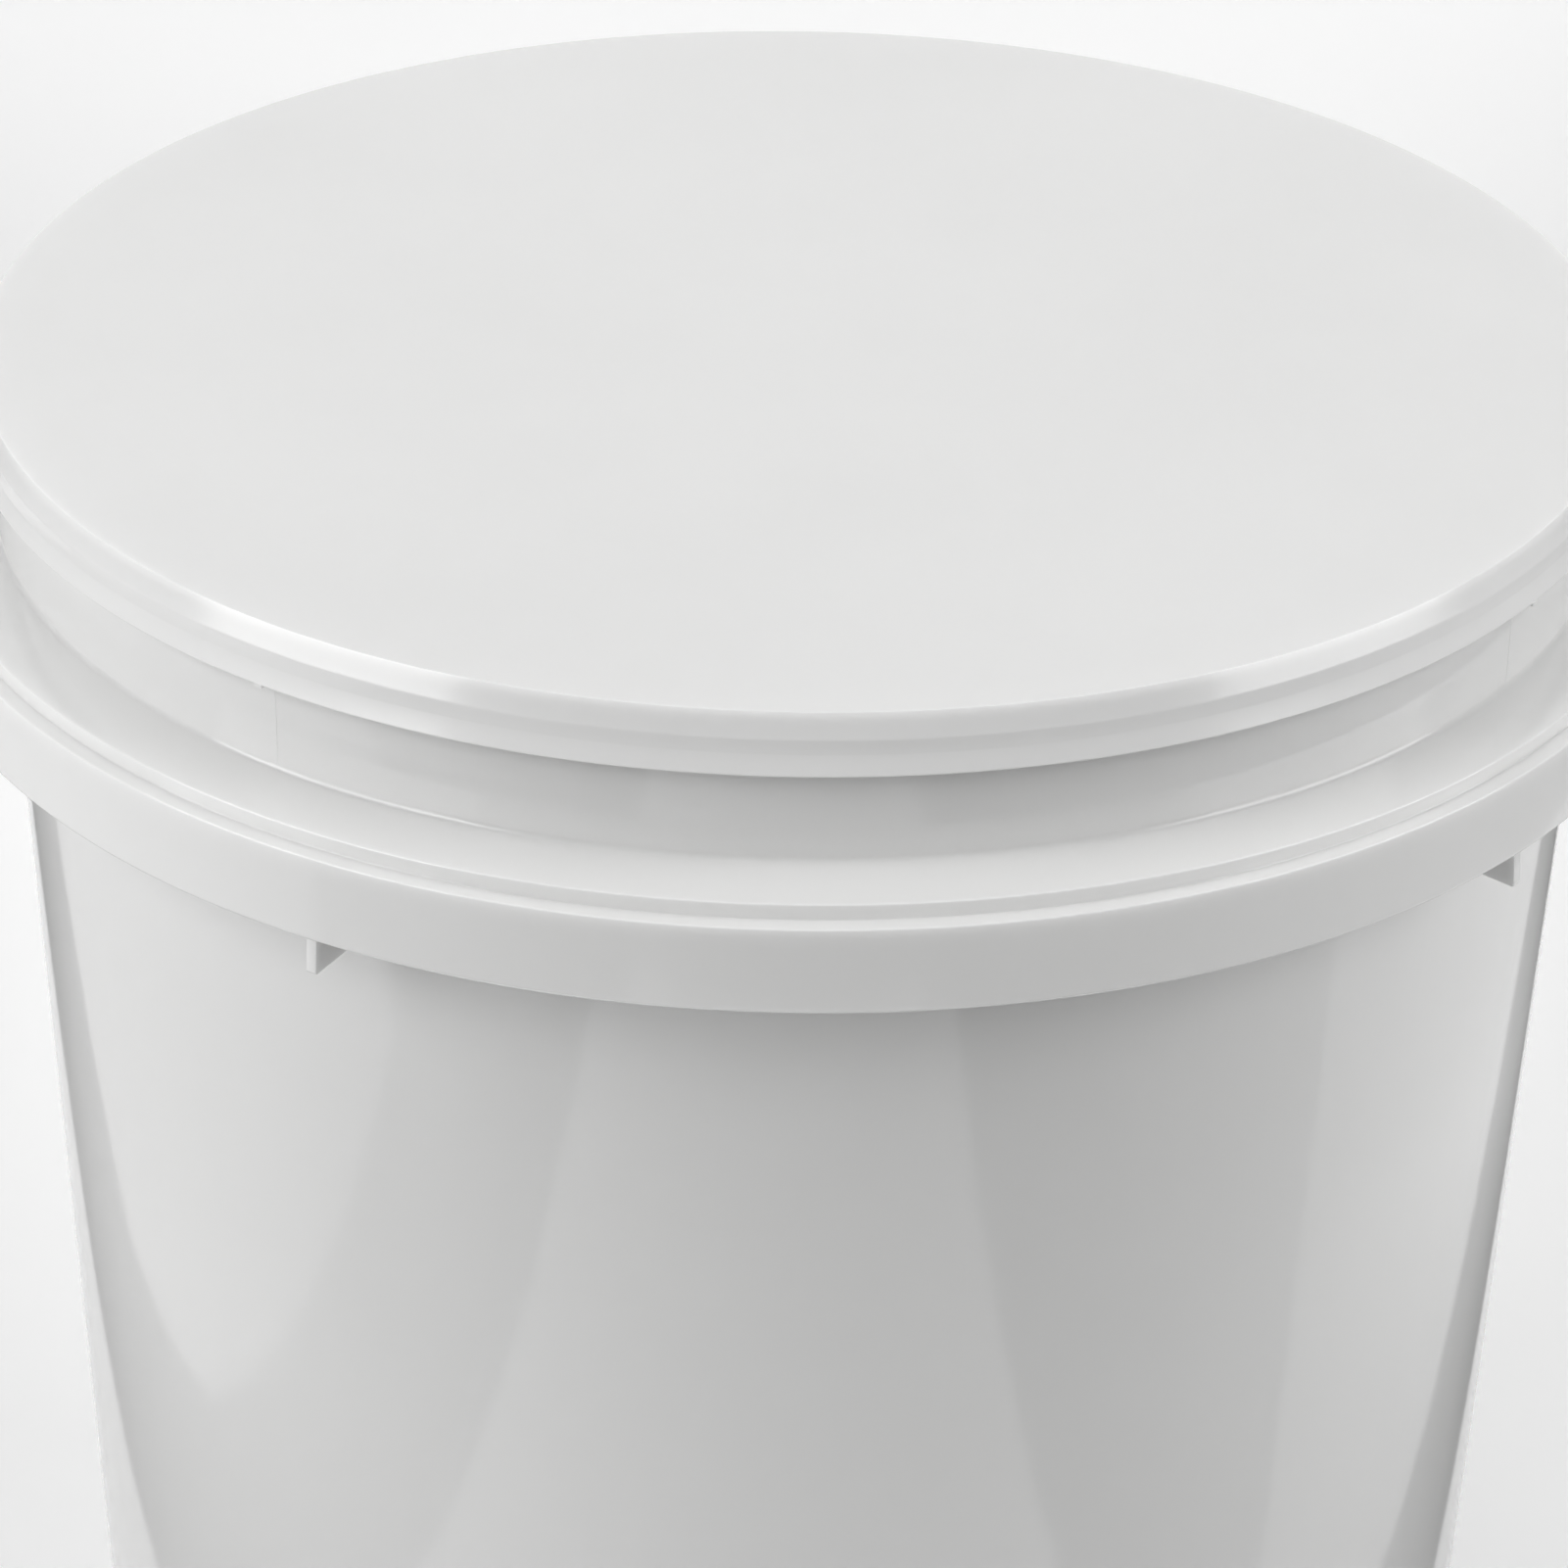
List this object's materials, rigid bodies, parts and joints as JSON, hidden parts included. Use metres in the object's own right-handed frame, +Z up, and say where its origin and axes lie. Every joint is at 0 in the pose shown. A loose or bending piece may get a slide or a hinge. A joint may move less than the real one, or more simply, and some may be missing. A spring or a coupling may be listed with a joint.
{
  "type": "paint bucket",
  "caption": "Round plastic paint bucket with a stepped hollow collar, a flat lid pressed on its rim and a carrying handle lying against its back.",
  "frame": {"origin": "centre of the foot ring, on the surface the bucket stands on", "axes": "+Z up along the bucket's axis, -Y towards its front, the handle pivots on X"},
  "size_m": [0.3382, 0.324, 0.372],
  "materials": {
    "bucket_plastic": "glossy moulded polypropylene, pale grey white",
    "lid_plastic": "glossy moulded polypropylene, pale grey white",
    "seal_foam": "matt soft foam",
    "handle_plastic": "satin moulded polypropylene, pale grey white"
  },
  "bodies": {
    "bucket": {"bucket_body": "bucket_plastic"},
    "lid": {"lid": "lid_plastic", "lid_seal": "seal_foam"},
    "handle": {"handle": "handle_plastic"}
  },
  "joints": [
    {"name": "lid_lift", "type": "slide", "parent": "bucket", "child": "lid", "axis": [0, 0, 1], "range_m": [0, 0.2]},
    {"name": "handle_swing", "type": "hinge", "parent": "bucket", "child": "handle", "pos_m": [0, 0, 0.3275], "axis": [1, 0, 0], "range_deg": [0, 229.5]}
  ]
}
